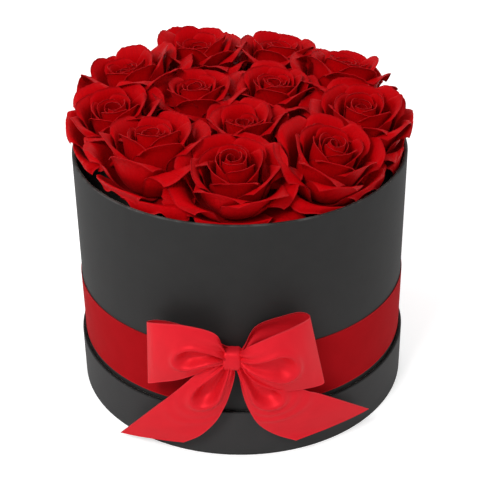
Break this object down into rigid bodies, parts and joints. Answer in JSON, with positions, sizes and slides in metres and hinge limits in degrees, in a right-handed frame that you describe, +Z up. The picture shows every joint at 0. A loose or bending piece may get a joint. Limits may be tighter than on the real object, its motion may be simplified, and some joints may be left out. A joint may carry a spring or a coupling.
{
  "type": "flower box",
  "caption": "Round black hat box filled with red roses in foam, tied with a red satin ribbon and bow, standing in its upturned lid.",
  "frame": {"origin": "centre of the upturned lid's underside, on the surface that the box stands on", "axes": "+Z up along the box's axis, -Y towards the front with the bow, +X to the right seen from the front"},
  "size_m": [0.2052, 0.2151, 0.2004],
  "materials": {
    "greyboard": "matte",
    "black_paper": "matte",
    "floral_foam": "matte",
    "rose_petal": "matte",
    "rose_green": "matte",
    "pick_wood": "matte",
    "red_satin": "satin"
  },
  "bodies": {
    "lid": {"lid_panel": "greyboard", "lid_rim": "greyboard", "lid_side_paper": "black_paper", "lid_top_paper": "black_paper", "lid_lining": "black_paper"},
    "box": {"box_wall": "greyboard", "box_base": "greyboard", "box_side_paper": "black_paper", "box_bottom_paper": "black_paper", "box_lining": "black_paper", "foam": "floral_foam", "rose_01_head": "rose_petal", "rose_02_head": "rose_petal", "rose_03_head": "rose_petal", "rose_04_head": "rose_petal", "rose_05_head": "rose_petal", "rose_06_head": "rose_petal", "rose_07_head": "rose_petal", "rose_08_head": "rose_petal", "rose_09_head": "rose_petal", "rose_10_head": "rose_petal", "rose_11_head": "rose_petal", "rose_12_head": "rose_petal", "rose_01_calyx": "rose_green", "rose_02_calyx": "rose_green", "rose_03_calyx": "rose_green", "rose_04_calyx": "rose_green", "rose_05_calyx": "rose_green", "rose_06_calyx": "rose_green", "rose_07_calyx": "rose_green", "rose_08_calyx": "rose_green", "rose_09_calyx": "rose_green", "rose_10_calyx": "rose_green", "rose_11_calyx": "rose_green", "rose_12_calyx": "rose_green", "rose_01_pick": "pick_wood", "rose_02_pick": "pick_wood", "rose_03_pick": "pick_wood", "rose_04_pick": "pick_wood", "rose_05_pick": "pick_wood", "rose_06_pick": "pick_wood", "rose_07_pick": "pick_wood", "rose_08_pick": "pick_wood", "rose_09_pick": "pick_wood", "rose_10_pick": "pick_wood", "rose_11_pick": "pick_wood", "rose_12_pick": "pick_wood", "ribbon_band": "red_satin", "bow_knot": "red_satin", "bow_loop_left": "red_satin", "bow_loop_right": "red_satin", "bow_tail_left": "red_satin", "bow_tail_right": "red_satin"}
  },
  "joints": [
    {"name": "box_lift", "type": "slide", "parent": "lid", "child": "box", "axis": [0, 0, 1], "range_m": [0, 0.06]}
  ]
}
